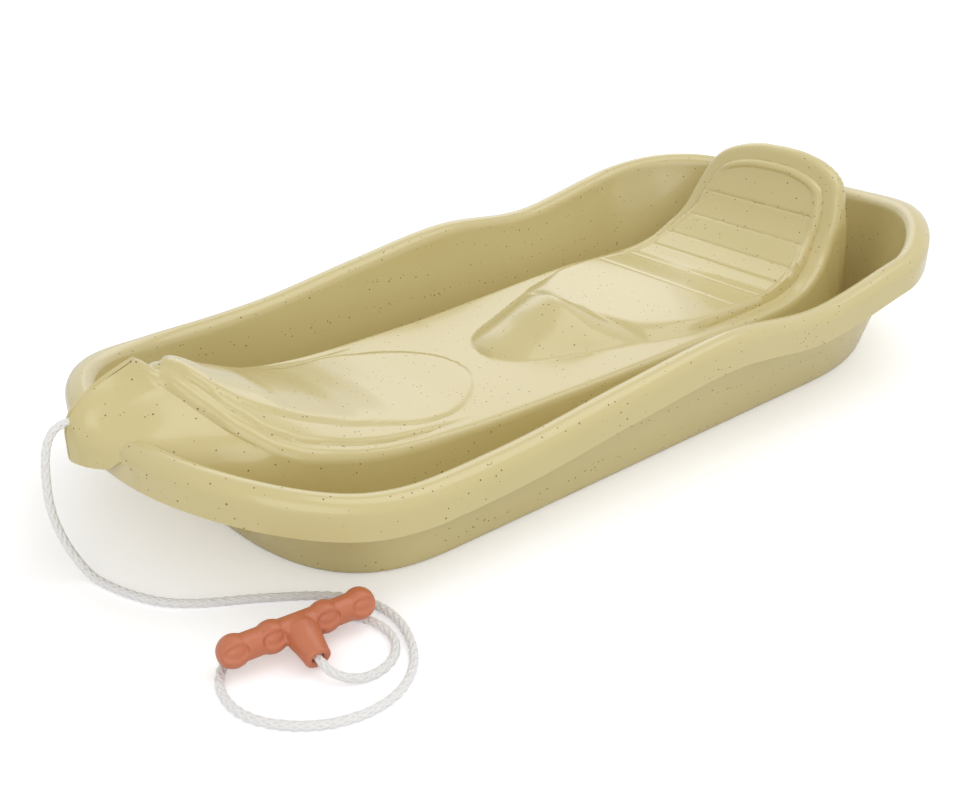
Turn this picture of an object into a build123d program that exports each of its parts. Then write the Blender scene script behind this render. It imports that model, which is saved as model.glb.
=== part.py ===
import os
from math import cos, radians, sin, tan

from build123d import *

os.makedirs("parts", exist_ok=True)

# Baby sled: a moulded tub with a rolled rim, a hollow deck with a prow, a pommel and a
# seat, and a tow rope with a finger-grip handle.
# Y runs along the sled, with the nose at -Y and the backrest at +Y. X is the width, Z is up.
# The origin is on the ground, under the middle of the sled.

# ---- driving dimensions, mm ----
sled_length = 798.0
beak_reach = 8.0                # the beak stands out this far in front of the rim
wall = 3.0                      # the moulding's sheet

rim_width_front = 332.0
rim_width_back = 360.0
rim_radius = 10.0               # outside of the rolled rim
rim_drop = 25.0                 # how far the lip hangs below the rim's top
rim_heights = (88.0, 70.0, 71.5, 84.5, 95.5, 88.5, 106.0, 117.0, 114.0)   # nose to tail
base_insets = (71.0, 47.0, 31.0, 28.0, 31.0, 36.0, 40.0, 39.0, 36.0)      # nose to tail
nose_run, nose_power = 145.0, 2.2           # superellipse that closes the rim at the nose
tail_run, tail_power = 195.0, 2.0           # and at the tail

runner_flat = 12.0              # flat bearing face under each side wall
foot_height = 16.0              # level of the floor between the runners
floor_slope = 12.0              # the floor climbs to it over this width

deck_height = 45.0
deck_setback = 202.0            # the level deck starts this far behind the nose
backrest_setback = 99.0         # the backrest's foot lies this far ahead of the tail
deck_half_front = 87.0
deck_half_back = 96.0
widest_setback = 156.0          # the deck is widest this far ahead of the backrest's foot
back_corner = 44.0              # plan corner radius behind the backrest
skirt_draft = 0.107             # inward lean of the skirt for each mm of height
strip_top = 146.0
backrest_top = 151.0
seat_margin = 13.0              # border strip left beside the seat
top_margin = 2.0                # and behind the backrest's top
seat_length = 284.0
seat_nose_corner = 40.0
panel_margin = 11.0             # width of the seat's frame
panel_depth = 3.0

rope_diameter = 5.0
hole_clearance = 0.5
knot_diameter = 7.4
knot_length = 6.5

bead_radius = 9.5
neck_radius = 6.5
bead_places = (16.0, 38.0)      # bead centres, out from the middle of the bar
hub_radius = 10.0
stem_length = 25.5
mouth_radius = 7.0
bore_depth = 12.0
bar_lift = 14.8                 # axis of the bar above the ground, resting on the rope
bar_turn = 6.0                  # degrees that the bar turns away from the sled's length
stem_dip = 14.0                 # degrees that the stem points down
handle_place = (159.8, 46.5)    # x, and distance behind the nose

half_length = sled_length / 2
nose = -half_length
deck_front = nose + deck_setback
deck_back = half_length - backrest_setback
widest_deck = deck_back - widest_setback
seat_front = deck_back - seat_length
foot_nose = nose + 89.0         # front of the deck's foot
foot_corner = nose + 141.0      # the foot reaches its full width here
rim_nose = -half_length + beak_reach
rim_length = sled_length - beak_reach
wall_stations = 12
floor_stations = 25
plan_steps = 6
upper = 175.0                   # level of the upper outlines that give the draft
above = 220.0                   # higher than anything on the sled

# Stations of the prow: distance behind the nose, then half width and level of the foot,
# of the shoulder and of the top.
prow_stations = (
    (0.0, 8.0, 64.0, 8.5, 88.0, 4.5, 101.0),
    (7.5, 24.0, 63.0, 25.0, 85.0, 4.5, 104.0),
    (19.0, 36.0, 78.0, 37.0, 84.0, 3.5, 110.0),
    (37.0, 46.0, 67.0, 44.0, 80.0, 2.5, 121.0),
    (51.0, 55.0, 46.0, 48.0, 76.0, 12.0, 107.0),
    (63.0, 63.0, 28.0, 56.0, 68.0, 31.0, 93.0),
    (75.0, 70.0, 14.0, 65.0, 58.0, 50.0, 82.5),
    (98.0, 81.0, 4.0, 77.0, 47.0, 72.0, 67.5),
    (123.0, 86.0, 4.0, 83.0, 42.0, 80.5, 59.5),
    (159.0, 87.0, 4.0, 85.0, 36.0, 84.0, 50.5),
    (194.0, 87.0, 4.0, 85.5, 33.0, 84.0, 46.2),
    (221.0, 87.0, 4.0, 85.5, 32.0, 84.0, 43.5),
)
# Stations of the pommel: distance ahead of the backrest's foot, half width at the deck, then
# half width and level of its top.
pommel_stations = (
    (386.0, 30.0, 10.0, 46.5),
    (356.0, 44.0, 15.0, 62.0),
    (318.0, 52.0, 14.0, 78.0),
    (266.0, 62.0, 30.0, 51.0),
)
# Side profiles of the deck's border strip and of the seat's frame: distance ahead of the
# backrest's foot, and level.
deck_profile = (
    (498.0, 45.5), (446.0, 45.0), (296.0, 45.0), (216.0, 46.0), (156.0, 48.5), (116.0, 53.0),
    (96.0, 61.0), (76.0, 73.5), (56.0, 91.5), (43.0, 114.0), (35.0, 145.0),
)
seat_profile = (
    (288.0, 50.0), (246.0, 52.0), (196.0, 51.5), (157.0, 53.0), (134.0, 58.5), (111.0, 68.0),
    (91.0, 80.5), (70.0, 98.0), (53.0, 118.0), (43.0, 140.0), (39.0, 154.0),
)
# The rope's route from the knot in the beak to the mouth of the handle: x, distance behind
# the nose, z.
rope_route = (
    (0.0, 12.5, 93.8), (0.0, 0.0, 95.2), (0.5, -13.0, 95.2), (2.0, -21.0, 86.0), (5.0, -25.0, 68.0),
    (8.0, -27.0, 48.0), (11.0, -24.0, 28.0), (16.0, -19.0, 12.0), (26.0, -14.5, 2.6),
    (42.0, -10.0, 2.6), (60.0, -3.0, 2.6), (78.0, 8.0, 2.6), (92.0, 25.0, 2.6), (103.0, 44.0, 2.6),
    (116.0, 64.0, 2.6), (131.0, 84.0, 2.6), (149.0, 98.0, 2.6), (171.0, 103.0, 2.6), (193.0, 98.0, 2.6),
    (213.0, 87.0, 2.6), (227.0, 69.0, 2.6), (231.0, 46.0, 2.6), (224.0, 22.0, 2.6), (208.0, 3.0, 2.6),
    (187.0, -8.0, 2.6), (163.0, -6.0, 2.6), (145.0, 8.0, 2.6), (135.0, 29.0, 2.6), (136.0, 53.0, 2.6),
    (147.0, 74.0, 2.6), (164.0, 89.0, 2.6), (184.0, 92.0, 2.6), (199.0, 85.0, 2.6), (207.0, 72.0, 2.6),
    (207.5, 58.0, 2.9), (201.0, 48.0, 4.4), (191.3, 43.3, 6.9), (180.6, 44.35, 9.6),
)


def blend(values, share):
    """Smooth value between evenly spaced knots, share 0 to 1."""
    last = len(values) - 1
    place = min(max(share, 0.0), 1.0) * last
    knot = min(int(place), last - 1)
    t = place - knot
    before, after = values[max(knot - 1, 0)], values[min(knot + 2, last)]
    low, high = values[knot], values[knot + 1]
    rise_low, rise_high = (high - before) / 2, (after - low) / 2
    return (low + rise_low * t + (3 * (high - low) - 2 * rise_low - rise_high) * t ** 2
            + (2 * (low - high) + rise_low + rise_high) * t ** 3)


def rim_points():
    """Right half of the rim's outline: a superellipse quarter at each end."""
    points = []
    for i in range(plan_steps + 1):
        turn = radians(90 * i / plan_steps)
        x = rim_width_front / 2 * sin(turn) ** (2 / nose_power)
        points.append((x, rim_nose + nose_run * (1 - abs(cos(turn)) ** (2 / nose_power))))
    points.append(((rim_width_front + rim_width_back) / 4, (nose_run - tail_run) / 2))
    for i in range(plan_steps, -1, -1):
        turn = radians(90 * i / plan_steps)
        x = rim_width_back / 2 * sin(turn) ** (2 / tail_power)
        points.append((x, half_length - tail_run * (1 - abs(cos(turn)) ** (2 / tail_power))))
    return points


with BuildLine() as rim_plan:
    rim_line = Spline(*rim_points(), tangents=[(1, 0), (-1, 0)])


def station(share):
    """Upright plane across the rim, with the rim's top and the bottom's place in it."""
    point = rim_line @ share
    along = rim_line % share
    outward = Vector(along.Y, -along.X, 0)
    plane = Plane(origin=point, x_dir=outward, z_dir=outward.cross(Vector(0, 0, 1)))
    top = blend(rim_heights, (point.Y - rim_nose) / rim_length)
    return plane, top, -blend(base_insets, share)


# ---- tub: rolled rim, side wall, runner and floor ----
def wall_section(share):
    plane, top, foot = station(share)
    roll = top - rim_radius
    lip = top - rim_drop
    with BuildSketch(plane) as section:
        with BuildLine():
            Line((0, lip), (0, roll))
            CenterArc((-rim_radius, roll), rim_radius, 0, 180)
            Polyline((-2 * rim_radius, roll), (foot - wall, wall), (foot - runner_flat, wall),
                     (foot - runner_flat, 0), (foot, 0), (-2 * rim_radius + wall, roll))
            CenterArc((-rim_radius, roll), rim_radius - wall, 0, 180)
            Polyline((-wall, roll), (-wall, lip), (0, lip))
        make_face()
    return section.sketch


def base_edges(inset):
    """Outline of the bottom, measured in from the outer wall."""
    points = []
    for i in range(floor_stations):
        plane, top, foot = station(i / (floor_stations - 1))
        place = plane.from_local_coords((foot - inset, 0, 0))
        points.append((place.X, place.Y))
    with BuildLine() as outline:
        Spline(*points, tangents=[(1, 0), (-1, 0)])
        mirror(about=Plane.YZ)
    return outline.edges()


def foot_edges(spread=0.0):
    """Outline of the deck's foot, widened by spread."""
    with BuildLine() as outline:
        FilletPolyline((0, foot_nose - spread), (deck_half_front - 21 + spread / 2, foot_nose - spread),
                       (deck_half_front + spread, foot_corner),
                       (deck_half_front + spread, deck_front), (deck_half_back + spread, widest_deck),
                       (deck_half_back - 4 + spread, deck_back + spread), (0, deck_back + spread),
                       radius=(14, 80, 300, 300, back_corner + spread))
        mirror(about=Plane.YZ)
    return outline.edges()


def floor_body(base_level, foot_level):
    """Floor that climbs from the runners to the level that the deck stands on."""
    with BuildPart() as body:
        for level, inset in ((base_level, runner_flat / 2), (foot_level, runner_flat + floor_slope)):
            with BuildSketch(Plane.XY.offset(level)):
                make_face(base_edges(inset))
        loft(ruled=True)
    return body.part


# ---- deck, prow, pommel and seat: hollow from below ----
def prow(inset=0.0):
    with BuildPart() as body:
        for behind, foot_half, foot, shoulder_half, shoulder, top_half, top in prow_stations:
            drop = inset * (2.2 if top_half < 3 * wall else 1.2)
            foot_half = max(foot_half - inset, 0.8)
            shoulder_half = max(shoulder_half - inset, 1.0)
            top_half = max(top_half - inset, 0.6)
            with BuildSketch(Plane.XZ.offset(-nose - behind - inset)):
                Polygon((-foot_half, foot - 2 * inset), (foot_half, foot - 2 * inset), (shoulder_half, shoulder),
                        (top_half, top - drop), (-top_half, top - drop), (-shoulder_half, shoulder), align=None)
        loft()
    return body.part


def pommel(inset=0.0):
    front, rear = pommel_stations[0][0], pommel_stations[-1][0]
    with BuildPart() as body:
        for ahead, foot_half, top_half, top in pommel_stations:
            low = deck_height - 1 - 3 * inset
            foot_half, top_half, top = foot_half - inset, top_half - inset / 2, top - inset
            shift = inset * (front + rear - 2 * ahead) / (front - rear)
            with BuildSketch(Plane.XZ.offset(ahead - deck_back + shift)):
                Polygon((-foot_half, low), (foot_half, low), (top_half, top), (-top_half, top), align=None)
        loft()
    return body.part


def lengthwise(profile, top, drop=0.0):
    """Everything below a side profile that ends in a level top, over the whole width."""
    with BuildSketch(Plane.YZ) as side:
        with BuildLine():
            curve = Spline(*[(deck_back - ahead, z - drop) for ahead, z in profile])
            start, end = deck_back - profile[0][0] - 8, deck_back - profile[-1][0] + 4 + drop
            Polyline(curve @ 1, (end, top - drop), (end + 80, top - drop), (end + 80, -20),
                     (start, -20), (start, profile[0][1] - drop), curve @ 0)
        make_face()
    return extrude(side.sketch, amount=above, both=True)


def tapered(front, half_front, front_corner, low, side_inset, back_inset):
    """Body over a deck outline, leaning inward with the skirt's draft."""
    with BuildPart() as body:
        for level in (low, upper):
            draft = skirt_draft * (level - foot_height)
            lean = side_inset + draft
            back = deck_back - back_inset - draft
            with BuildSketch(Plane.XY.offset(level)):
                with BuildLine() as outline:
                    FilletPolyline((0, front), (half_front - lean, front), (deck_half_back - lean, widest_deck),
                                   (deck_half_back - 4 - lean, back), (0, back),
                                   radius=(front_corner, 300, back_corner - lean / 2))
                    mirror(about=Plane.YZ)
                make_face(outline.edges())
        loft()
    return body.part


def deck_body(inset=0.0):
    front = deck_front + 0.6 * inset
    body = tapered(front, deck_half_front, 1.0, foot_height - 4 * wall - inset, inset, inset)
    return body & lengthwise(deck_profile, strip_top, inset)


def seat_body(inset=0.0, drop=0.0, low=deck_height - 2):
    front = seat_front + inset
    body = tapered(front, deck_half_front + 4, seat_nose_corner, low, seat_margin + inset, top_margin + inset)
    return body & lengthwise(seat_profile, backrest_top, drop)


central_outer = prow() + deck_body() + seat_body() + pommel()
central_inner = prow(wall) + deck_body(wall) + seat_body(wall, wall + panel_depth) + pommel(wall)
panel = seat_body(panel_margin) - seat_body(panel_margin, panel_depth)

with BuildPart() as tub:
    for i in range(wall_stations):
        add(wall_section(i / (wall_stations - 1)))
    loft()
    mirror(about=Plane.YZ)
    add(floor_body(wall, foot_height))
    add(floor_body(0, foot_height - wall), mode=Mode.SUBTRACT)
    with BuildSketch(Plane.XY.offset(-1)):
        make_face(foot_edges(-wall))
    extrude(amount=above, mode=Mode.SUBTRACT)
tub.part.label = "tub"

route = [Vector(x, nose + behind, z) for x, behind, z in rope_route]
hole_axis = Plane(origin=route[1], x_dir=(1, 0, 0), z_dir=route[1] - route[0])
with BuildPart() as seat_deck:
    add(central_outer)
    add(central_inner, mode=Mode.SUBTRACT)
    add(panel, mode=Mode.SUBTRACT)
    add(floor_body(-20, foot_height), mode=Mode.SUBTRACT)
    add(tub.part, mode=Mode.SUBTRACT)
    add(seat_deck.part.solids().sort_by(SortBy.VOLUME)[-1], mode=Mode.REPLACE)
    with BuildSketch(hole_axis):
        Circle(rope_diameter / 2 + hole_clearance)
    extrude(amount=8, both=True, mode=Mode.SUBTRACT)
seat_deck.part.label = "seat_deck"


# ---- tow rope, its knot and its handle ----
def bend_radii(points):
    """Largest arcs that leave a straight bit on every run."""
    radii = []
    for before, corner, after in zip(points, points[1:], points[2:]):
        run_in, run_out = corner - before, after - corner
        half_turn = radians(run_in.get_angle(run_out)) / 2
        radii.append(0.45 * min(run_in.length, run_out.length) / tan(half_turn))
    return radii


radii = bend_radii(route)
print("rope radii", [round(radius, 1) for radius in radii])
with BuildPart() as rope:
    with BuildLine() as rope_line:
        FilletPolyline(*route, radius=radii)
    with BuildSketch(Plane(origin=rope_line.wires()[0] @ 0, z_dir=rope_line.wires()[0] % 0)):
        Circle(rope_diameter / 2)
    sweep(path=rope_line.wires()[0])
print("rope length", rope_line.wires()[0].length, "volume", rope.part.volume)
rope.part.label = "rope"

knot_axis = Plane(origin=route[0], z_dir=route[0] - route[1])
with BuildPart() as nose_knot:
    with BuildSketch(knot_axis):
        Circle(knot_diameter / 2)
    extrude(amount=knot_length)
    fillet(nose_knot.edges(), 2.5)
nose_knot.part.label = "nose_knot"

# The handle lies in its own frame: its bar along Y, its stem along X.
stem_plane = Plane(origin=(0, 0, 0), z_dir=(cos(radians(stem_dip)), 0, -sin(radians(stem_dip))))
with BuildPart() as handle:
    Cylinder(neck_radius, 2 * bead_places[-1], rotation=(90, 0, 0))
    Sphere(hub_radius)
    with Locations(*[(0, side * place, 0) for side in (-1, 1) for place in bead_places]):
        Sphere(bead_radius)
    with BuildSketch(stem_plane):
        Circle(hub_radius - 1)
    with BuildSketch(stem_plane.offset(stem_length)):
        Circle(mouth_radius)
    loft()
    with BuildSketch(stem_plane.offset(stem_length)):
        Circle(rope_diameter / 2 + hole_clearance)
    extrude(amount=-bore_depth, mode=Mode.SUBTRACT)
handle_part = handle.part.moved(Location((handle_place[0], nose + handle_place[1], bar_lift), (0, 0, -bar_turn)))
handle_part.label = "handle"

for name, piece in (("tub", tub.part), ("seat_deck", seat_deck.part), ("rope", rope.part),
                    ("nose_knot", nose_knot.part), ("handle", handle_part)):
    export_step(piece, f"parts/{name}.step")
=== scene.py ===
import math

import bmesh
import bpy
import numpy as np
from mathutils import Matrix, Vector


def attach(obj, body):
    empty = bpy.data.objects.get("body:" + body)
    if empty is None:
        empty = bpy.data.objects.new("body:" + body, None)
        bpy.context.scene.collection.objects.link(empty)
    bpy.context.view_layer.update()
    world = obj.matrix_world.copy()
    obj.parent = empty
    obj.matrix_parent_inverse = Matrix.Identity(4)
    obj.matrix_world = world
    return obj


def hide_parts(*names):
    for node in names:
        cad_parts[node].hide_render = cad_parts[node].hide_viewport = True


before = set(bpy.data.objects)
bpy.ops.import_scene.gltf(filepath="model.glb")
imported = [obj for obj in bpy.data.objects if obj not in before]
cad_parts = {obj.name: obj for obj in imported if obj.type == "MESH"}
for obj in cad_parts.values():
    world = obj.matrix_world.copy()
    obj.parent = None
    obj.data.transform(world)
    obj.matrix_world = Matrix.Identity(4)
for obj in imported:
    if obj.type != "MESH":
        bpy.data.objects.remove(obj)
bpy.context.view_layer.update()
mm = 0.001


# ---- small helpers ----
def smoothTable(knots, values, where):
    # a curve through the knots that never overshoots, for one column or several
    knots, values, where = (np.asarray(each, float) for each in (knots, values, where))
    steps = np.diff(knots)
    slopes = np.diff(values, axis=0) / (steps if values.ndim == 1 else steps[:, None])
    before, after = slopes[:-1], slopes[1:]
    same = before * after > 0
    tangents = np.zeros_like(values)
    tangents[1:-1] = np.where(same, 2 * before * after / np.where(same, before + after, 1), 0)
    tangents[0], tangents[-1] = slopes[0], slopes[-1]
    cell = np.clip(np.searchsorted(knots, where) - 1, 0, len(steps) - 1)
    span = steps[cell]
    t = np.clip((where - knots[cell]) / span, 0, 1)
    if values.ndim > 1:
        t, span = t[:, None], span[:, None]
    return (values[cell] * (2 * t**3 - 3 * t**2 + 1) + tangents[cell] * span * (t**3 - 2 * t**2 + t)
            + values[cell + 1] * (3 * t**2 - 2 * t**3) + tangents[cell + 1] * span * (t**3 - t**2))


def tableAt(table, where):
    knots, values = np.array(table).T
    return smoothTable(knots, values, np.ravel(where)).reshape(np.shape(where))


def ramp(low, high, value):
    t = np.clip((value - low) / (high - low), 0, 1)
    return t * t * (3 - 2 * t)


def arcLength(points):
    steps = np.diff(np.asarray(points, float), axis=0)
    return np.concatenate([[0], np.cumsum(np.hypot(*steps.T))])


def cornerCut(points, times):
    for _ in range(times):
        cut = [points[0]]
        for a, b in zip(points[:-1], points[1:]):
            cut += [a * 0.75 + b * 0.25, a * 0.25 + b * 0.75]
        points = np.array(cut + [points[-1]])
    return points


def gridFaces(rows, columns, closed=False):
    faces = []
    for i in range(rows if closed else rows - 1):
        for j in range(columns - 1):
            a, b = i * columns + j, ((i + 1) % rows) * columns + j
            faces.append((a, b, b + 1, a + 1) if closed else (a, a + 1, b + 1, b))
    return faces


def meshObject(name, points, faces, material):
    mesh = bpy.data.meshes.new(name)
    mesh.from_pydata([tuple(p) for p in points], [], faces)
    mesh.validate()
    mesh.polygons.foreach_set("use_smooth", [True] * len(mesh.polygons))
    mesh.update()
    piece = bpy.data.objects.new(name, mesh)
    bpy.context.collection.objects.link(piece)
    mesh.materials.append(material)
    return piece


def thicken(piece, thickness):
    # the sheet grows away from the side that the faces look to
    wall = piece.modifiers.new("sheet", "SOLIDIFY")
    wall.thickness, wall.offset = thickness * mm, -1
    return wall


def makeReal(piece, smoothAngle):
    # what the modifiers make becomes the mesh itself
    depsgraph = bpy.context.evaluated_depsgraph_get()
    mesh = bpy.data.meshes.new_from_object(piece.evaluated_get(depsgraph))
    piece.modifiers.clear()
    piece.data = mesh
    mesh.polygons.foreach_set("use_smooth", [True] * len(mesh.polygons))
    mesh.set_sharp_from_angle(angle=math.radians(smoothAngle))
    return piece


def newMaterial(name, color, roughness, coat=0.0, specular=0.5):
    material = bpy.data.materials.new(name)
    material.use_nodes = True
    shader = material.node_tree.nodes["Principled BSDF"]
    shader.inputs["Base Color"].default_value = (*color, 1)
    shader.inputs["Roughness"].default_value = roughness
    shader.inputs["Specular IOR Level"].default_value = specular
    shader.inputs["Coat Weight"].default_value = coat
    shader.inputs["Coat Roughness"].default_value = 0.08
    return material, material.node_tree, shader


def mathNode(tree, operation, *values):
    # each value is a number or another node's output
    node = tree.nodes.new("ShaderNodeMath")
    node.operation = operation
    for socket, value in zip(node.inputs, values):
        if isinstance(value, (int, float)):
            socket.default_value = value
        else:
            tree.links.new(value, socket)
    return node.outputs[0]


def mapRange(tree, value, low, high, newLow, newHigh):
    node = tree.nodes.new("ShaderNodeMapRange")
    for socket, number in (("From Min", low), ("From Max", high), ("To Min", newLow), ("To Max", newHigh)):
        node.inputs[socket].default_value = number
    tree.links.new(value, node.inputs["Value"])
    return node.outputs["Result"]


def addBump(tree, shader, place, noise):
    scale, detail, strength, depth = noise
    grain, bump = tree.nodes.new("ShaderNodeTexNoise"), tree.nodes.new("ShaderNodeBump")
    grain.inputs["Scale"].default_value = scale
    grain.inputs["Detail"].default_value = detail
    tree.links.new(place.outputs["Object"], grain.inputs["Vector"])
    bump.inputs["Strength"].default_value = strength
    bump.inputs["Distance"].default_value = depth
    tree.links.new(grain.outputs["Fac"], bump.inputs["Height"])
    tree.links.new(bump.outputs["Normal"], shader.inputs["Normal"])


def cloudColor(tree, place, scale, dark, light):
    cloud, mix = tree.nodes.new("ShaderNodeTexNoise"), tree.nodes.new("ShaderNodeMix")
    cloud.inputs["Scale"].default_value = scale
    tree.links.new(place.outputs["Object"], cloud.inputs["Vector"])
    mix.data_type = "RGBA"
    mix.inputs["A"].default_value = (*dark, 1)
    mix.inputs["B"].default_value = (*light, 1)
    tree.links.new(cloud.outputs["Fac"], mix.inputs["Factor"])
    return mix.outputs["Result"]


# ---- material of the shell ----
shellLook = {
    "color": (0.63, 0.535, 0.25),
    "cloudScale": 9.0,
    "cloudShade": 0.04,      # how much darker and lighter the clouds are
    "fleckColor": (0.20, 0.13, 0.055),
    "fleckCell": 3.6,        # mm between flecks
    "fleckRadius": 0.38,     # mm
    "fleckRange": (0.2, 1.9),    # smallest and largest fleck, as shares of the radius
    "fleckShare": 0.42,      # share of the cells that hold one
    "roughness": 0.24,
    "coat": 0.35,
    "waves": (14.0, 1.0, 0.06, 0.004),    # scale, detail, strength and depth in metres
}


def fleckMask(tree, place, look):
    cells, tint = tree.nodes.new("ShaderNodeTexVoronoi"), tree.nodes.new("ShaderNodeSeparateColor")
    cells.inputs["Scale"].default_value = 1000 / look["fleckCell"]
    tree.links.new(place.outputs["Object"], cells.inputs["Vector"])
    tree.links.new(cells.outputs["Color"], tint.inputs[0])
    empty = 1 - look["fleckShare"]
    smallest, largest = (share * look["fleckRadius"] / look["fleckCell"] for share in look["fleckRange"])
    size = mapRange(tree, tint.outputs[0], empty, 1, smallest, largest)
    present = mathNode(tree, "GREATER_THAN", tint.outputs[0], empty)
    inside = mathNode(tree, "LESS_THAN", cells.outputs["Distance"], size)
    return mathNode(tree, "MULTIPLY", present, inside)


def shellMaterial(look):
    material, tree, shader = newMaterial("speckledShell", look["color"], look["roughness"], look["coat"])
    place = tree.nodes.new("ShaderNodeTexCoord")
    dark = [c * (1 - look["cloudShade"]) for c in look["color"]]
    light = [min(c * (1 + look["cloudShade"]), 1) for c in look["color"]]
    mix = tree.nodes.new("ShaderNodeMix")
    mix.data_type = "RGBA"
    mix.inputs["B"].default_value = (*look["fleckColor"], 1)
    tree.links.new(fleckMask(tree, place, look), mix.inputs["Factor"])
    tree.links.new(cloudColor(tree, place, look["cloudScale"], dark, light), mix.inputs["A"])
    tree.links.new(mix.outputs["Result"], shader.inputs["Base Color"])
    addBump(tree, shader, place, look["waves"])
    return material


shell = shellMaterial(shellLook)
print("shell material ready")

# ---- tub: rolled rim, side wall, runners and channel ----
tub = {
    # plans of rim, base and channel: half widths, ends, lengths and powers of their front and rear
    "rimHalf": (165.0, 179.6), "rimEnds": (-391.0, 360.0), "rimRuns": (145.0, 152.0),
    "rimPowers": (2.2, 1.68),
    "baseHalf": (140.0, 136.0), "baseEnds": (-322.0, 316.0), "baseRuns": (102.0, 172.0),
    "basePowers": (2.88, 2.3),
    "channelHalf": (78.0, 88.0), "channelEnds": (-284.0, 293.0), "channelRuns": (60.0, 70.0),
    "channelPowers": (2.4, 2.6),
    "widening": 60.0,    # the half width changes along the straight sides and this far past them
    # the rim's level, evenly spaced from the first end to the second
    "heightEnds": (-391.0, 399.0),
    "rimHeights": (88.0, 70.0, 71.5, 84.5, 95.5, 88.9, 105.2, 120.7, 97.0),
    "rimRadius": 10.0, "rollSteps": 12, "lipDrop": 25.0, "sheet": 3.0,
    # the bend at the wall's foot: outward from the base's outline, and the level
    "runner": ((-1.0, 3.6), (-7.0, 3.0), (-15.0, 3.0), (-18.0, 8.0), (-21.0, 15.0)),
    "wallFoot": 6.0, "wallShares": (0.12, 0.5, 0.88),
    "channelLevel": 16.0, "channelSag": 0.6, "channelShares": (0.12, 0.5, 1.0), "around": 150,
}


def halfOutline(spec, name, count):
    # one side of a rounded plan, from the front end on the centre line to the rear end
    halves, ends, runs, powers = (spec[name + part] for part in ("Half", "Ends", "Runs", "Powers"))
    turn = np.linspace(0, math.pi / 2, 240)
    front = [(np.sin(a) ** (2 / powers[0]), ends[0] + runs[0] * (1 - np.cos(a) ** (2 / powers[0])))
             for a in turn]
    back = [(np.sin(a) ** (2 / powers[1]), ends[1] - runs[1] * (1 - abs(np.cos(a)) ** (2 / powers[1])))
            for a in turn[::-1]]
    middle = [(1.0, y) for y in np.linspace(front[-1][1], back[0][1], 80)[1:-1]]
    line = np.array(front + middle + back)
    share = ramp(front[-1][1] - spec["widening"], back[0][1] + spec["widening"], line[:, 1])
    line[:, 0] *= halves[0] + (halves[1] - halves[0]) * share
    length = arcLength(line)
    even = np.linspace(0, length[-1], count)
    return np.column_stack([np.interp(even, length, line[:, 0]), np.interp(even, length, line[:, 1])])


def knotBlend(values, share):
    # a round curve through evenly spaced values
    values = np.asarray(values)
    place = np.clip(share, 0, 1) * (len(values) - 1)
    knot = np.minimum(place.astype(int), len(values) - 2)
    t = place - knot
    before, after = values[np.maximum(knot - 1, 0)], values[np.minimum(knot + 2, len(values) - 1)]
    low, high = values[knot], values[knot + 1]
    riseLow, riseHigh = (high - before) / 2, (after - low) / 2
    square = 3 * (high - low) - 2 * riseLow - riseHigh
    cube = 2 * (low - high) + riseLow + riseHigh
    return low + riseLow * t + square * t**2 + cube * t**3


def footInset(base, place, outward):
    # how far the base's outline lies inside the rim, along the rim's normal there
    gap = base - place
    aside = abs(gap[:, 0] * outward[1] - gap[:, 1] * outward[0])
    ahead = gap @ outward
    inward = np.where(ahead < 0, 0.2 * abs(ahead), 1000)
    return ahead[np.argmin(aside + inward)]


def wallSection(spec, top, foot):
    # distance outward from the rim's edge and level, from the lip over the roll and down the wall
    radius, steps = spec["rimRadius"], spec["rollSteps"]
    roll, lip = top - radius, top - spec["lipDrop"]
    section = [(0, lip), (0, lip + 2), (0, roll - 5)]
    for step in range(steps + 1):
        turn = math.pi * step / steps
        section.append((-radius + radius * math.cos(turn), roll + radius * math.sin(turn)))
    start = np.array([-2 * radius, roll])
    lean = np.array([foot, spec["wallFoot"]]) - start
    low = [start + lean * share for share in spec["wallShares"]]
    low += [np.array([foot + aside, level]) for aside, level in spec["runner"]]
    return section + [tuple(p) for p in cornerCut(np.array(low), 3)]


def channelPoints(spec, last, inner):
    # inward from the wall's last point to the channel's outline
    points = []
    for share in spec["channelShares"]:
        sag = spec["channelSag"] * (1 - share)
        x, y, _ = last * (1 - share) + inner * share
        points.append((x, y, spec["channelLevel"] - sag))
    return points


def buildTub(spec):
    count = spec["around"]
    rim, channel = halfOutline(spec, "rim", count), halfOutline(spec, "channel", count)
    base = halfOutline(spec, "base", 2000)
    along = np.gradient(rim, axis=0)
    along[0], along[-1] = (1, 0), (-1, 0)
    along /= np.hypot(*along.T)[:, None]
    outward = np.column_stack([along[:, 1], -along[:, 0]])
    front, back = spec["heightEnds"]
    tops = knotBlend(spec["rimHeights"], (rim[:, 1] - front) / (back - front))
    rings = []
    for i in range(count):
        section = wallSection(spec, tops[i], footInset(base, rim[i], outward[i]))
        ring = [(*(rim[i] + outward[i] * aside), level) for aside, level in section]
        ring += channelPoints(spec, np.array(ring[-1]), np.array([*channel[i], spec["channelLevel"]]))
        ring = np.array(ring)
        ring[:, 0] = 0 if i in (0, count - 1) else np.maximum(ring[:, 0], 0)
        rings.append(ring)
    rings = np.array(rings)
    mirrored = rings[1:-1][::-1] * (-1, 1, 1)
    rings = np.concatenate([rings, mirrored])
    faces = gridFaces(*rings.shape[:2], closed=True)
    piece = meshObject("hullTub", rings.reshape(-1, 3) * mm, faces, shell)
    thicken(piece, spec["sheet"]).use_even_offset = False
    return makeReal(piece, 50)


hullTub = buildTub(tub)
print("tub ready", len(hullTub.data.polygons))

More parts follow.
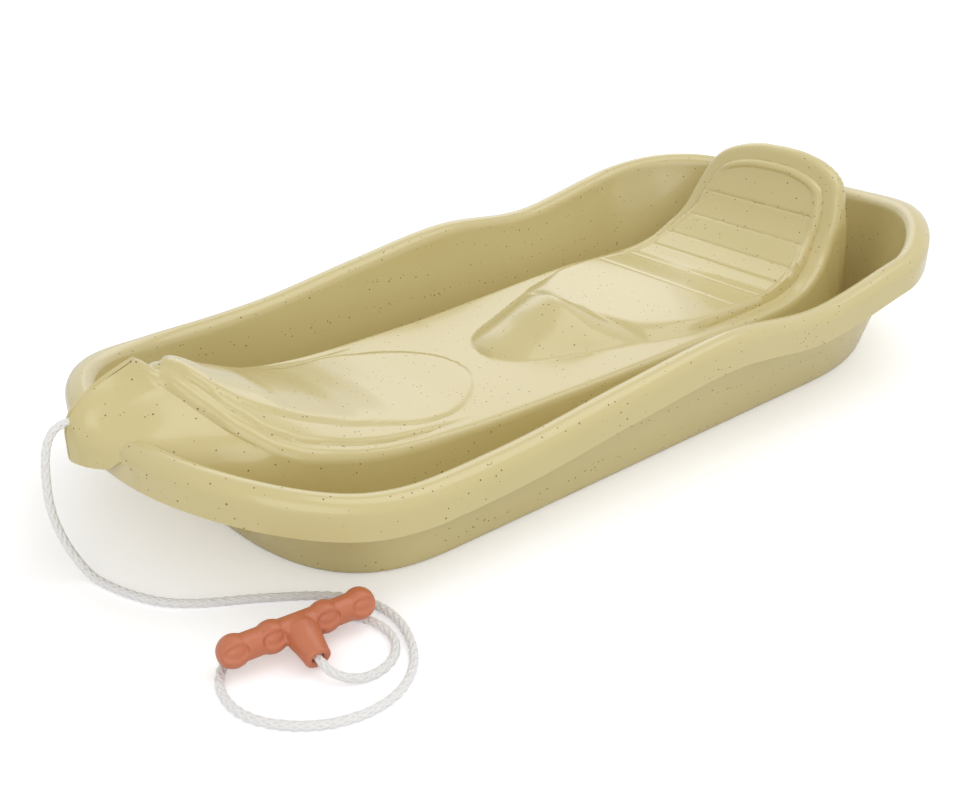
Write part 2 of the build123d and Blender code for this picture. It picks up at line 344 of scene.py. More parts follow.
# ---- deck: prow, tongue, pommel, seat and backrest ----
# Prow stations: y, half width, level at the edge, level on the centre line, then the flank's
# upper bend, lower bend and foot as x, y, z.
prowStations = [
    (-361.0, 0.3, 121.8, 121.8, (0.3, -383.0, 113.0), (0.3, -404.0, 98.0), (0.3, -404.0, 70.0)),
    (-354.5, 5.0, 113.0, 115.5, (5.0, -379.0, 108.5), (7.0, -402.0, 96.0), (8.0, -402.0, 70.0)),
    (-348.0, 10.5, 107.0, 110.3, (10.5, -372.0, 102.5), (14.0, -398.0, 91.5), (15.5, -398.5, 70.0)),
    (-342.0, 20.0, 101.0, 112.0, (19.5, -364.0, 96.5), (24.0, -390.0, 88.0), (25.5, -392.5, 71.0)),
    (-336.0, 30.0, 94.0, 110.3, (29.5, -357.0, 90.5), (33.0, -379.0, 86.0), (35.0, -384.0, 78.0)),
    (-330.0, 40.0, 87.5, 107.2, (39.0, -349.5, 84.0), (42.0, -367.0, 79.5), (44.0, -369.0, 73.0)),
    (-324.0, 50.0, 82.0, 103.4, (48.5, -341.0, 76.5), (51.0, -353.0, 68.0), (53.5, -356.0, 56.0)),
    (-317.0, 58.0, 77.0, 98.5, (56.5, -331.0, 68.0), (58.5, -341.0, 50.0), (61.0, -340.0, 30.0)),
    (-310.0, 66.0, 72.0, 94.0, (64.5, -320.0, 60.0), (66.0, -327.0, 38.0), (67.0, -322.0, 16.0)),
    (-301.0, 72.0, 67.5, 89.0, (71.5, -306.0, 53.0), (72.5, -308.0, 33.0), (74.0, -304.0, 13.0)),
    (-292.0, 77.0, 64.0, 84.3, (77.0, -293.0, 50.0), (78.0, -293.0, 31.0), (79.5, -290.0, 12.0)),
    (-276.0, 81.0, 59.6, 75.0, (81.5, -275.0, 46.0), (82.5, -274.0, 30.0), (84.0, -272.0, 12.0)),
    (-253.0, 83.3, 53.0, 64.5, (84.0, -253.0, 42.0), (85.0, -252.5, 28.0), (86.5, -252.0, 13.0)),
    (-226.0, 84.3, 48.3, 54.5, (85.2, -226.0, 37.0), (86.2, -226.0, 26.0), (87.5, -226.0, 14.0)),
    (-195.0, 84.7, 45.8, 47.8, (85.7, -195.0, 36.0), (86.9, -195.0, 25.0), (88.0, -195.0, 14.0)),
    (-150.0, 86.4, 45.2, 45.5, (87.2, -150.0, 35.0), (88.3, -150.0, 25.0), (89.4, -150.0, 14.0)),
]
# Seat stations: y, half width, level, then the foot of the side wall as x, y.
seatStations = [
    (-80.0, 88.5, 45.5, 91.5, -80.0), (-45.0, 90.5, 46.5, 93.5, -45.0), (0.0, 93.0, 48.0, 95.5, 0.0),
    (60.0, 95.5, 50.5, 98.0, 60.0), (104.0, 97.0, 51.5, 99.5, 104.0), (140.0, 95.5, 51.5, 99.5, 140.0),
    (164.0, 94.0, 52.0, 99.0, 164.0), (184.0, 92.0, 54.5, 98.0, 184.0), (204.0, 89.5, 60.0, 96.5, 204.0),
    (224.0, 85.5, 72.5, 94.5, 222.0), (233.0, 82.1, 80.2, 93.0, 232.0), (244.7, 78.8, 95.4, 90.5, 243.0),
    (252.5, 78.5, 110.0, 88.0, 250.5), (259.0, 78.5, 125.0, 85.5, 257.0), (264.5, 78.5, 140.0, 83.0, 263.0),
    (268.5, 78.5, 152.0, 80.5, 268.0),
]
# Stations of the backrest's rear on its centre line: y, level, half width, then the foot as x, y.
backStations = [
    (273.0, 150.5, 78.2, 79.5, 270.0), (277.0, 149.5, 77.8, 78.6, 271.0), (280.0, 145.0, 77.4, 78.0, 271.6),
    (282.0, 135.0, 77.2, 77.6, 272.0), (285.0, 100.0, 77.0, 77.2, 272.4), (288.0, 50.0, 77.0, 77.0, 272.6),
    (290.0, 14.0, 77.0, 77.0, 273.0),
]
deck = {
    "prowGap": 2.4, "seatGap": 1.6, "backrestGap": 1.1, "backGap": 3.0,    # mm from row to row
    "edgeBands": (0.0, 0.5, 1.2, 2.2, 3.4, 5.0, 7.0, 9.2, 10.4, 11.5, 12.6, 13.6, 14.6, 15.8, 17.2, 18.8,
                  20.2, 21.4, 22.6, 24.4, 27.0, 30.0),
    "middleBands": 17, "bandsNeed": 37.5, "sheet": 3.0, "footLevel": 14.0,
    "edgeRound": 3.0, "topRound": 4.5, "topRoundRun": (200.0, 250.0), "fullRoundHalf": 12.0,
    # where the flank's two bends lie: shares of the way down, or mm down where prow and seat meet
    "seatFlank": (0.25, 0.6), "flankOut": 0.4, "rearFlank": (0.3, 0.6), "joinFlank": (10.0, 21.0),
    # the border of the prow, which fades towards the seat, and the tongue: y and half width
    "stripEdge": (9.8, 12.2), "stripStep": 2.4, "stripFade": (-215.0, -150.0), "steepest": 2.5,
    "beadIn": 3.2, "beadWidth": 1.6, "beadStep": 0.9,
    "tongue": ((-344.0, 0.0), (-336.0, 12.0), (-325.0, 25.0), (-310.0, 37.0), (-290.0, 46.0),
               (-260.0, 52.0), (-226.0, 57.0), (-205.0, 63.0), (-188.0, 66.0), (-172.0, 64.5),
               (-155.0, 58.5), (-138.0, 47.5), (-126.0, 36.0), (-117.0, 22.0), (-112.5, 8.0), (-111.5, 0.0)),
    "tongueEdge": (-1.6, 1.6), "tongueStep": 1.8, "tongueRise": (-344.0, -330.0),
    # the arch of the backrest's top: across from the centre and drop along the profile; rows bend
    # towards it from archFrom on, and the outer edge is followed as a line from outlineFrom on
    "arch": ((0.0, 0.0), (17.0, 0.5), (34.5, 3.2), (48.3, 7.5), (59.7, 13.5), (68.8, 24.0), (75.6, 43.0),
             (78.5, 56.0), (82.0, 66.0), (100.0, 84.0)),
    "archHalf": 78.5, "archFrom": 186.0, "archBend": 1.25, "outlineFrom": 90.0, "outlineStep": 0.3,
    # the backrest's rear: how far its sides lie forward, and how near to the top's edge it stays
    "rearLean": 17.0, "rearPower": 2.2, "rearHalf": 77.0, "rearArch": 0.93,
    "rearGapFrom": 272.5, "rearGap": 1.0, "rearGapGrowth": 0.6,
    # the raised form, pommel and seat in one: y and half width of its foot and lip, y and its height
    "foot": ((-86.0, 0.0), (-84.5, 9.0), (-81.0, 18.0), (-75.0, 26.0), (-66.0, 33.0), (-54.0, 39.0),
             (-38.0, 45.0), (-20.0, 52.0), (0.0, 61.0), (20.0, 71.0), (40.0, 78.5), (60.0, 82.5),
             (93.0, 83.5), (134.0, 81.5)),
    "lip": ((20.0, 0.0), (23.0, 14.0), (28.0, 42.0), (38.0, 56.0), (58.0, 70.0), (76.0, 77.0),
            (112.0, 79.8), (134.0, 78.5)),
    "raise": ((-86.0, 0.0), (-83.0, 2.4), (-50.0, 15.5), (-22.0, 26.6), (-14.0, 28.4), (-6.0, 25.2),
              (0.6, 21.6), (14.8, 12.4), (21.0, 9.4), (30.0, 8.6), (60.0, 7.5), (104.0, 6.6), (164.0, 6.2),
              (184.0, 7.6), (204.0, 9.0), (224.0, 8.6), (236.0, 7.0), (250.0, 5.0), (262.0, 4.4),
              (270.0, 4.4)),
    "bulgePower": 1.7, "bulgeToWall": (25.0, 85.0),
    "seatMargin": 14.0, "wallRun": 3.2, "marginFrom": (112.0, 140.0),
    "panelMargin": 5.0, "panelEdge": (-0.9, 0.9), "panelDepth": 1.5, "panelFrom": (112.0, 165.0),
    # the grooves across the backrest: y and depth
    "grooves": ((249.1, 1.2), (232.4, 1.3), (209.3, 1.1), (186.5, 0.9), (155.5, 0.7), (119.0, 0.5)),
    "grooveHalf": 1.5, "grooveEnd": 2.5,
}


def bandsAcross(half, spec):
    # x of a row's points, close together at the edges, and closer on rows narrower than bandsNeed
    bands = np.array(spec["edgeBands"]) * min(1.0, half / spec["bandsNeed"])
    inner = np.linspace(half - bands[-1], 0, spec["middleBands"] + 1)[1:]
    xs = np.concatenate([half - bands, inner])
    return np.concatenate([xs, -xs[:-1][::-1]])


def withFlanks(line, upper, lower, foot):
    flank = cornerCut(np.array([line[0], upper, lower, foot]), 2)[1:]
    return np.concatenate([flank[::-1], line, flank * (-1, 1, 1)])


def edgeDrop(inside, radius):
    near = radius - np.clip(inside, 0, radius)
    return radius - np.sqrt(np.maximum(radius * radius - near * near, 0))


def prowTable(spec):
    # the prow's stations, with the seat's first one as the last
    rows = [[*station[:4], *station[4], *station[5], *station[6]] for station in prowStations]
    y, half, level, footX, footY = seatStations[0]
    upper, lower = (level - drop for drop in spec["joinFlank"])
    bends = ((half + footX) / 2, y, upper, footX - 1, y, lower)
    rows.append([y, half, level, level, *bends, footX, footY, spec["footLevel"]])
    return np.array(rows)


def prowRows(spec):
    table = prowTable(spec)
    gone = arcLength(table[:, [0, 3]])
    state = smoothTable(gone, table, np.arange(0, gone[-1] - 0.5 * spec["prowGap"], spec["prowGap"]))
    widening = np.gradient(state[:, 1], state[:, 0])
    tongueFront, tongueBack = spec["tongue"][0][0], spec["tongue"][-1][0]
    rows = []
    for row, spread in zip(state, widening):
        y, half, edge, crest = row[:4]
        xs = bandsAcross(half, spec)
        ax = np.abs(xs)
        inside = (half - ax) / math.hypot(1, min(abs(spread), spec["steepest"]))
        fade = 1 - ramp(*spec["stripFade"], y)
        z = edge + (crest - edge) * (1 - np.clip(ax / half, 0, 1) ** 2)
        z += spec["stripStep"] * fade * ramp(*spec["stripEdge"], inside)
        z += spec["beadStep"] * fade * np.exp(-(((inside - spec["beadIn"]) / spec["beadWidth"]) ** 2))
        if tongueFront < y < tongueBack:
            tongueHalf = tableAt(spec["tongue"], y)
            step = spec["tongueStep"] * ramp(*spec["tongueEdge"], tongueHalf - ax)
            z += step * ramp(*spec["tongueRise"], y)
        z -= edgeDrop(inside, spec["edgeRound"] * min(1.0, half / spec["fullRoundHalf"]))
        line = np.column_stack([xs, np.full_like(xs, y), z])
        rows.append(withFlanks(line, row[4:7], row[7:10], row[10:13]))
    return rows


def seatProfile():
    # the seat's side view, close together: distance gone, then y, half width, level and foot
    table = np.array(seatStations)
    gone = arcLength(table[:, [0, 2]])
    dense = np.linspace(0, gone[-1], 3000)
    return dense, smoothTable(gone, table, dense)


def backrestOutline(spec, dense, state):
    # the seat's outer edge in its own surface: across, then distance gone
    top = dense[-1]
    across = np.linspace(0, spec["archHalf"], 120)
    arch = np.column_stack([across, top - tableAt(spec["arch"], across)])
    start = np.interp(spec["outlineFrom"], state[:, 0], dense)
    below = dense[(dense < arch[-1, 1]) & (dense > start)][::-8]
    sides = np.column_stack([np.interp(below, dense, state[:, 1]), below])
    outline = np.vstack([arch, sides])
    gone = arcLength(outline)
    fine = np.arange(0, gone[-1], spec["outlineStep"])
    return np.column_stack([np.interp(fine, gone, column) for column in outline.T])


def raisedForm(spec, y, ax, inside, grooveOffsets):
    # height of pommel, seat, panel and grooves over the deck
    share = ramp(*spec["marginFrom"], y)
    footHalf, lipHalf = tableAt(spec["foot"], y), tableAt(spec["lip"], y)
    within = (footHalf - ax) * (1 - share) + (inside - spec["seatMargin"]) * share
    width = np.maximum((footHalf - lipHalf) * (1 - share) + spec["wallRun"] * share, 0.5)
    climb = np.clip(within / width, 0, 1)
    bulge, wall = 1 - (1 - climb) ** spec["bulgePower"], ramp(0, 1, climb)
    blend = ramp(*spec["bulgeToWall"], y)
    lift = tableAt(spec["raise"], y) * (bulge * (1 - blend) + wall * blend)
    panel = within - spec["panelMargin"]
    lift -= spec["panelDepth"] * ramp(*spec["panelFrom"], y) * ramp(*spec["panelEdge"], panel)
    for offset, depth in grooveOffsets:
        lift -= depth * np.clip(1 - offset**2, 0, 1) * ramp(0, spec["grooveEnd"], panel)
    return lift


def rowHalf(spec, s, pull, dense, state):
    # half width where a row meets the outer edge, found step by step
    half = spec["archHalf"]
    for _ in range(12):
        place = s - pull * tableAt(spec["arch"], half)
        half = 0.5 * half + 0.5 * max(spec["archHalf"], np.interp(place, dense, state[:, 1]))
    return half


def seatRows(spec):
    dense, state = seatProfile()
    top, outline = dense[-1], backrestOutline(spec, dense, state)
    grooves = np.interp([y for y, _ in spec["grooves"]], state[:, 0], dense)
    archStart = np.interp(spec["archFrom"], state[:, 0], dense)
    tilt = np.column_stack([np.gradient(state[:, 2], dense), np.gradient(state[:, 0], dense)])
    surface = np.hstack([state[:, [0, 2]], tilt])
    places = [*np.arange(0, archStart, spec["seatGap"]), *np.arange(archStart, top, spec["backrestGap"])]
    rows = []
    for s in [*places, top]:
        # rows bend down at their ends until the last one is the arch
        pull = max(0.0, (s - archStart) / (top - archStart)) ** spec["archBend"]
        half = rowHalf(spec, s, pull, dense, state)
        xs = bandsAcross(half, spec)
        ax = np.abs(xs)
        along = np.clip(s - pull * tableAt(spec["arch"], ax), 0, top)
        y, z, rise, run = (np.interp(along, dense, column) for column in surface.T)
        inside = half - ax
        if y.max() > spec["outlineFrom"] + 10:
            inside = np.min(np.hypot(ax[:, None] - outline[:, 0], along[:, None] - outline[:, 1]), axis=1)
            inside[0] = inside[-1] = 0
        offsets = [(np.abs(along - place) / spec["grooveHalf"], depth)
                   for place, (_, depth) in zip(grooves, spec["grooves"])]
        lift = raisedForm(spec, y, ax, inside, offsets)
        growth = (spec["topRound"] - spec["edgeRound"]) * ramp(*spec["topRoundRun"], y)
        lift -= edgeDrop(inside, spec["edgeRound"] + growth)
        size = np.hypot(rise, run)
        line = np.column_stack([xs, y - rise / size * lift, z + run / size * lift])
        foot = np.array([*(np.interp(s, dense, state[:, column]) for column in (3, 4)), spec["footLevel"]])
        upper, lower = (line[0] + (foot - line[0]) * share + (spec["flankOut"], 0, 0)
                        for share in spec["seatFlank"])
        rows.append(withFlanks(line, upper, lower, foot))
    return rows


def backRows(spec, crestRow):
    # the rear follows the arch of the top, fading to a level foot
    table = np.array(backStations)
    gone = arcLength(table[:, :2])
    state = smoothTable(gone, table, np.arange(0, gone[-1] + spec["backGap"], spec["backGap"]))
    count = len(bandsAcross(spec["rearHalf"], spec))
    edge = (len(crestRow) - count) // 2
    crest = crestRow[edge:edge + count]
    summit, ground = seatStations[-1][2], spec["footLevel"]
    rows = []
    for y, level, half, footX, footY in state:
        xs = bandsAcross(half, spec)
        ax = np.abs(xs)
        height = summit - tableAt(spec["arch"], ax) * spec["rearArch"]
        z = ground + (level - ground) * (height - ground) / (summit - ground)
        forward = spec["rearLean"] * (ax / spec["rearHalf"]) ** spec["rearPower"]
        behind = crest[:, 1] + spec["rearGap"] + (y - spec["rearGapFrom"]) * spec["rearGapGrowth"]
        line = np.column_stack([xs, np.maximum(y - forward, behind), z])
        end, foot = line[0], np.array([footX, max(footY, line[0, 1]), ground])
        upper, lower = (end * (1 - share) + foot * share for share in spec["rearFlank"])
        rows.append(withFlanks(line, upper, lower, foot))
    return rows


def buildDeck(spec):
    seat = seatRows(spec)
    grid = np.array(prowRows(spec) + seat + backRows(spec, seat[-1]))
    piece = meshObject("hullDeck", grid.reshape(-1, 3) * mm, gridFaces(*grid.shape[:2]), shell)
    thicken(piece, spec["sheet"])
    return makeReal(piece, 60)


hullDeck = buildDeck(deck)
print("deck ready", len(hullDeck.data.polygons))

# ---- tow rope ----
rope = {
    "diameter": 5.0, "strands": 8, "strandRadius": 0.95, "turnLength": 26.0,
    "weave": 0.28,    # how far strands swing over and under, as a share of their radius
    "step": 1.1, "strandSides": 6, "coreSides": 10,
    "route": (
        (0.0, -386.5, 93.8), (0.0, -399.0, 95.2), (0.5, -412.0, 95.2), (2.0, -420.0, 86.0),
        (5.0, -424.0, 68.0), (8.0, -426.0, 48.0), (11.0, -423.0, 28.0), (16.0, -418.0, 12.0),
        (26.0, -413.5, 2.6), (42.0, -409.0, 2.6), (60.0, -402.0, 2.6), (78.0, -391.0, 2.6),
        (92.0, -374.0, 2.6), (103.0, -355.0, 2.6), (116.0, -335.0, 2.6), (131.0, -315.0, 2.6),
        (149.0, -301.0, 2.6), (171.0, -296.0, 2.6), (193.0, -301.0, 2.6), (213.0, -312.0, 2.6),
        (227.0, -330.0, 2.6), (231.0, -353.0, 2.6), (224.0, -377.0, 2.6), (208.0, -396.0, 2.6),
        (187.0, -407.0, 2.6), (163.0, -405.0, 2.6), (145.0, -391.0, 2.6), (135.0, -370.0, 2.6),
        (136.0, -346.0, 2.6), (147.0, -325.0, 2.6), (164.0, -310.0, 2.6), (184.0, -307.0, 2.6),
        (199.0, -314.0, 2.6), (207.0, -327.0, 2.6), (207.5, -341.0, 2.9), (201.0, -351.0, 4.4),
        (191.3, -355.7, 6.9), (180.6, -354.65, 9.6),
    ),
}
cordWhite, _, cordShader = newMaterial("ropeWhite", (0.86, 0.85, 0.83), 0.7)
cordShader.inputs["Sheen Weight"].default_value = 0.3


def ropeCurve(spec):
    curve = bpy.data.curves.new("ropeRoute", "CURVE")
    curve.dimensions = "3D"
    spline = curve.splines.new("NURBS")
    spline.points.add(len(spec["route"]) - 1)
    for point, place in zip(spline.points, spec["route"]):
        point.co = (*[c * mm for c in place], 1)
    spline.order_u = 3
    spline.use_endpoint_u = True
    spline.resolution_u = 12
    holder = bpy.data.objects.new("ropeRoute", curve)
    bpy.context.collection.objects.link(holder)
    return holder


def evaluatedMesh(holder):
    depsgraph = bpy.context.evaluated_depsgraph_get()
    return bpy.data.meshes.new_from_object(holder.evaluated_get(depsgraph))


def braidInputs(tree, spec):
    tree.interface.new_socket("Geometry", in_out="INPUT", socket_type="NodeSocketGeometry")
    amount = tree.interface.new_socket("Strands", in_out="INPUT", socket_type="NodeSocketInt")
    amount.default_value = spec["strands"]
    lay = spec["diameter"] / 2 - spec["strandRadius"]
    lengths = {"Lay Radius": lay, "Strand Radius": spec["strandRadius"], "Turn Length": spec["turnLength"]}
    for label, length in lengths.items():
        socket = tree.interface.new_socket(label, in_out="INPUT", socket_type="NodeSocketFloat")
        socket.default_value = length * mm
    tree.interface.new_socket("Geometry", in_out="OUTPUT", socket_type="NodeSocketGeometry")
    return tree.nodes.new("NodeGroupInput").outputs


def strandOffset(tree, source, index, weaveShare):
    # half the strands wind one way and half the other, over and under in turn
    def calc(operation, *values):
        return mathNode(tree, operation, *values)

    def vector(operation, *pairs):
        node = tree.nodes.new("ShaderNodeVectorMath")
        node.operation = operation
        for value, socket in pairs:
            tree.links.new(value, node.inputs[socket])
        return node.outputs[0]

    gone, tangent, normal = (tree.nodes.new("GeometryNode" + kind) for kind in
                             ("SplineParameter", "InputTangent", "InputNormal"))
    way = calc("SUBTRACT", calc("MULTIPLY", calc("MODULO", index, 2), 2), 1)
    turn = calc("MULTIPLY", calc("DIVIDE", gone.outputs["Length"], source["Turn Length"]), 2 * math.pi)
    pair = calc("FLOOR", calc("DIVIDE", index, 2))
    phase = calc("MULTIPLY", pair, calc("DIVIDE", 4 * math.pi, source["Strands"]))
    angle = calc("ADD", calc("MULTIPLY", turn, way), phase)
    weave = calc("COSINE", calc("MULTIPLY", turn, calc("DIVIDE", source["Strands"], 2)))
    swing = calc("MULTIPLY", source["Strand Radius"], weaveShare)
    radius = calc("ADD", source["Lay Radius"], calc("MULTIPLY", calc("MULTIPLY", weave, way), swing))
    cross = vector("CROSS_PRODUCT", (tangent.outputs[0], 0), (normal.outputs[0], 1))
    ahead, aside = (calc("MULTIPLY", radius, calc(wave, angle)) for wave in ("COSINE", "SINE"))
    first = vector("SCALE", (normal.outputs[0], 0), (ahead, "Scale"))
    second = vector("SCALE", (cross, 0), (aside, "Scale"))
    return vector("ADD", (first, 0), (second, 1))


def braidTree(spec, material):
    tree = bpy.data.node_groups.new("ropeBraid", "GeometryNodeTree")
    source = braidInputs(tree, spec)
    add, link = tree.nodes.new, tree.links.new

    def tubeAlong(curve, radius, sides):
        ring, tube = add("GeometryNodeCurvePrimitiveCircle"), add("GeometryNodeCurveToMesh")
        ring.inputs["Resolution"].default_value = sides
        link(radius, ring.inputs["Radius"])
        link(curve, tube.inputs["Curve"])
        link(ring.outputs[0], tube.inputs["Profile Curve"])
        tube.inputs["Fill Caps"].default_value = True
        return tube.outputs[0]

    even, copies, shift = (add("GeometryNode" + kind) for kind in
                           ("ResampleCurve", "DuplicateElements", "SetPosition"))
    even.mode = "LENGTH"
    even.inputs["Length"].default_value = spec["step"] * mm
    link(source["Geometry"], even.inputs["Curve"])
    copies.domain = "SPLINE"
    link(even.outputs[0], copies.inputs["Geometry"])
    link(source["Strands"], copies.inputs["Amount"])
    link(copies.outputs["Geometry"], shift.inputs["Geometry"])
    offset = strandOffset(tree, source, copies.outputs["Duplicate Index"], spec["weave"])
    link(offset, shift.inputs["Offset"])
    join, real, finish = (add("GeometryNode" + kind) for kind in
                          ("JoinGeometry", "RealizeInstances", "SetMaterial"))
    link(tubeAlong(even.outputs[0], source["Lay Radius"], spec["coreSides"]), join.inputs[0])
    link(tubeAlong(shift.outputs[0], source["Strand Radius"], spec["strandSides"]), join.inputs[0])
    link(join.outputs[0], real.inputs[0])
    finish.inputs["Material"].default_value = material
    link(real.outputs[0], finish.inputs["Geometry"])
    link(finish.outputs[0], add("NodeGroupOutput").inputs[0])
    return tree


routeHolder = ropeCurve(rope)
routeMesh = evaluatedMesh(routeHolder)
bpy.data.meshes.remove(routeMesh)
routeHolder.modifiers.new("braid", "NODES").node_group = braidTree(rope, cordWhite)
braidMesh = evaluatedMesh(routeHolder)
bpy.data.objects.remove(routeHolder)
braidMesh.polygons.foreach_set("use_smooth", [True] * len(braidMesh.polygons))
towRope = bpy.data.objects.new("towRope", braidMesh)
bpy.context.collection.objects.link(towRope)
print("rope ready", len(braidMesh.polygons))

# ---- handle ----
grip = {
    "place": (159.8, -352.5, 14.8), "turn": -6.0, "half": 47.2, "neckRadius": 7.9, "endRadius": 0.05,
    "beads": (-38.0, -16.0, 16.0, 38.0), "beadRadius": 9.5, "beadStretch": 0.93,
    "dimpleDepth": 2.2, "dimpleLength": 7.4, "dimpleHeight": 5.2, "dimpleTurn": 22.0, "dimpleWall": 3,
    # the stem that takes in the cord: distance outward and radius, as far as the bottom of its mouth
    "stem": ((-3, 0.1), (-3, 8.0), (4, 9.2), (9, 8.8), (16, 7.6), (22, 6.9), (24.6, 6.8), (25.5, 6.2),
             (25.5, 4.0), (24.4, 3.1), (15, 3.0), (15, 0.1)),
    "stemDip": 14.0, "stemWide": 1.12,
    "around": 48, "rings": 150, "voxel": 0.55, "softness": (0.5, 4),
    "color": (0.56, 0.145, 0.065), "dark": (0.52, 0.155, 0.07), "light": (0.62, 0.195, 0.09),
    "cloudScale": 40, "grain": (700, 2, 0.12, 0.0003),    # grain as the shell's waves
}


def gripMaterial(spec):
    material, tree, shader = newMaterial("terracottaGrip", spec["color"], 0.38, 0.15)
    place = tree.nodes.new("ShaderNodeTexCoord")
    addBump(tree, shader, place, spec["grain"])
    color = cloudColor(tree, place, spec["cloudScale"], spec["dark"], spec["light"])
    tree.links.new(color, shader.inputs["Base Color"])
    return material


def barRadius(spec, y):
    radius = spec["neckRadius"]
    for bead in spec["beads"]:
        inside = spec["beadRadius"] ** 2 - ((y - bead) * spec["beadStretch"]) ** 2
        radius = max(radius, math.sqrt(max(0.0, inside)))
    past = max(0.0, spec["beadRadius"] - (spec["half"] - abs(y)))
    rounded = math.sqrt(max(0.0, spec["beadRadius"] ** 2 - past**2))
    return max(min(radius, rounded), spec["endRadius"])


def dimpleAt(spec, y, radius, turn):
    # a shallow oval dimple on the outward side of each bead
    aim, depth = turn - math.radians(spec["dimpleTurn"]), 0.0
    across = radius * math.sin(aim) / spec["dimpleHeight"]
    for bead in spec["beads"]:
        oval = ((y - bead) / spec["dimpleLength"]) ** 2 + across**2
        if math.cos(aim) > 0 and oval < 1:
            depth += spec["dimpleDepth"] * min(1.0, spec["dimpleWall"] * (1 - oval))
    return depth


def tubeFaces(first, rings, around):
    faces = []
    for i in range(rings - 1):
        for k in range(around):
            a, b = first + i * around + k, first + i * around + (k + 1) % around
            faces.append((a, b, b + around, a + around))
    last = first + (rings - 1) * around
    return faces + [tuple(range(first, first + around))[::-1], tuple(range(last, last + around))]


def gripPoints(spec):
    turns = [2 * math.pi * k / spec["around"] for k in range(spec["around"])]
    points = []
    for y in np.linspace(-spec["half"], spec["half"], spec["rings"]):
        radius = barRadius(spec, y)
        for turn in turns:
            out = radius - dimpleAt(spec, y, radius, turn)
            points.append((out * math.cos(turn), y, out * math.sin(turn)))
    dip = math.radians(spec["stemDip"])
    outward = np.array([math.cos(dip), 0, -math.sin(dip)])
    upward, sideways = np.array([math.sin(dip), 0, math.cos(dip)]), np.array([0, spec["stemWide"], 0])
    for reach, radius in spec["stem"]:
        centre, up, side = outward * reach, upward * radius, sideways * radius
        points += [tuple(centre + up * math.cos(turn) + side * math.sin(turn)) for turn in turns]
    place = Matrix.Translation(spec["place"]) @ Matrix.Rotation(math.radians(spec["turn"]), 4, "Z")
    return [tuple(c * mm for c in place @ Vector(p)) for p in points]


def buildGrip(spec, material):
    around, rings = spec["around"], spec["rings"]
    faces = tubeFaces(0, rings, around) + tubeFaces(rings * around, len(spec["stem"]), around)
    piece = meshObject("towHandle", gripPoints(spec), faces, material)
    shape = bmesh.new()
    shape.from_mesh(piece.data)
    bmesh.ops.recalc_face_normals(shape, faces=shape.faces)
    shape.to_mesh(piece.data)
    shape.free()
    skin = piece.modifiers.new("skin", "REMESH")
    skin.mode, skin.voxel_size = "VOXEL", spec["voxel"] * mm
    soft = piece.modifiers.new("soft", "SMOOTH")
    soft.factor, soft.iterations = spec["softness"]
    makeReal(piece, 180)
    piece.data.materials.clear()
    piece.data.materials.append(material)
    return piece


towHandle = buildGrip(grip, gripMaterial(grip))
print("handle ready", len(towHandle.data.polygons))

# ---- what each piece stands for ----
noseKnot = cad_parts["nose_knot"]
noseKnot.data.materials.clear()
noseKnot.data.materials.append(cordWhite)
for piece, node, slot in ((hullTub, "tub", "shell"), (hullDeck, "seat_deck", "shell"),
                          (towRope, "rope", "rope"), (towHandle, "handle", "grip")):
    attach(piece, "root")
    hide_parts(node)

# ---- floor, light and camera ----
studio = {
    "lamps": (("key", 5.6, 1.1, (0.4, 0.5, 1.5)), ("fill", 9.5, 1.6, (1.5, -1.2, 1.1)),
              ("back", 3.6, 1.2, (-1.3, 0.9, 1.1))),    # watts, then size and place in metres
    "aim": (0, 0, 0.05), "sky": 0.67, "floorSize": 12, "floorColor": (0.93, 0.93, 0.94),
    # light that the floor shows of its own, near and far, and the distances for these in metres
    "lift": (0.3, 1.0), "liftRun": (0.7, 1.8),
}
lens = {
    "elevation": 25.695, "azimuth": 49.884, "focal": 42.57,
    "away": 949.642, "right": -68.184, "up": -12.151, "lengthShift": 4.0,
}


def areaLight(name, power, size, place, aim):
    lamp = bpy.data.lights.new(name, "AREA")
    lamp.energy, lamp.size = power, size
    holder = bpy.data.objects.new(name, lamp)
    bpy.context.collection.objects.link(holder)
    holder.location = place
    holder.rotation_euler = (Vector(aim) - Vector(place)).to_track_quat("-Z", "Y").to_euler()


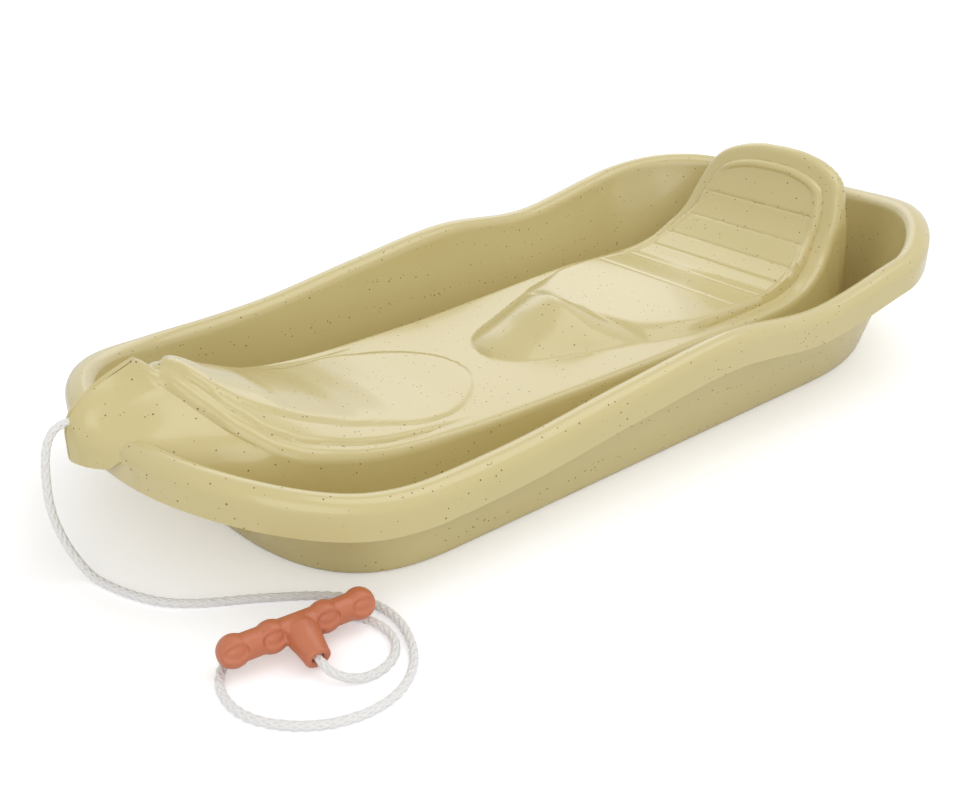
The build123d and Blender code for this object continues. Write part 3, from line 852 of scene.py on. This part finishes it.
def buildFloor(spec):
    bpy.ops.mesh.primitive_plane_add(size=spec["floorSize"])
    floor = bpy.context.object
    floor.name = "studioFloor"
    paper, tree, shader = newMaterial("paleFloor", spec["floorColor"], 0.9, 0, 0.1)
    rays, place, away = (tree.nodes.new("ShaderNode" + kind) for kind in
                         ("LightPath", "TexCoord", "VectorMath"))
    away.operation = "LENGTH"
    tree.links.new(place.outputs["Object"], away.inputs[0])
    spread = mapRange(tree, away.outputs["Value"], *spec["liftRun"], *spec["lift"])
    lift = mathNode(tree, "MULTIPLY", rays.outputs["Is Camera Ray"], spread)
    shader.inputs["Emission Color"].default_value = (1, 1, 1, 1)
    tree.links.new(lift, shader.inputs["Emission Strength"])
    floor.data.materials.append(paper)


def buildSky(spec):
    # an even sky lights the sled, pure white is what the camera and reflections see
    world = bpy.data.worlds.new("studio")
    world.use_nodes = True
    bpy.context.scene.world = world
    tree = world.node_tree
    sky = tree.nodes["Background"]
    seen, rays, mix = (tree.nodes.new("ShaderNode" + kind) for kind in
                       ("Background", "LightPath", "MixShader"))
    for background, strength in ((sky, spec["sky"]), (seen, 1)):
        background.inputs["Color"].default_value = (1, 1, 1, 1)
        background.inputs["Strength"].default_value = strength
    direct = mathNode(tree, "MAXIMUM", rays.outputs["Is Camera Ray"], rays.outputs["Is Glossy Ray"])
    direct = mathNode(tree, "MAXIMUM", direct, rays.outputs["Is Transmission Ray"])
    for source, socket in ((direct, 0), (sky.outputs[0], 1), (seen.outputs[0], 2)):
        tree.links.new(source, mix.inputs[socket])
    tree.links.new(mix.outputs[0], tree.nodes["World Output"].inputs["Surface"])


def buildCamera(spec):
    e, a = math.radians(spec["elevation"]), math.radians(spec["azimuth"])
    back = Vector((math.sin(a) * math.cos(e), -math.cos(a) * math.cos(e), math.sin(e)))
    right = Vector((math.cos(a), math.sin(a), 0))
    up = back.cross(right)
    shift = Vector((0, spec["lengthShift"], 0))
    place = (back * spec["away"] + right * spec["right"] + up * spec["up"] + shift) * mm
    camera = bpy.data.objects.new("camera", bpy.data.cameras.new("camera"))
    camera.data.lens, camera.data.sensor_width = spec["focal"], 36.0
    camera.data.clip_start = 0.01
    bpy.context.collection.objects.link(camera)
    turned = Matrix((right, up, back)).transposed().to_4x4()
    camera.matrix_world = Matrix.Translation(place) @ turned
    bpy.context.scene.camera = camera


buildFloor(studio)
for lamp in studio["lamps"]:
    areaLight(*lamp, studio["aim"])
buildSky(studio)
buildCamera(lens)
bpy.context.scene.view_settings.view_transform = "Standard"
print("studio ready")
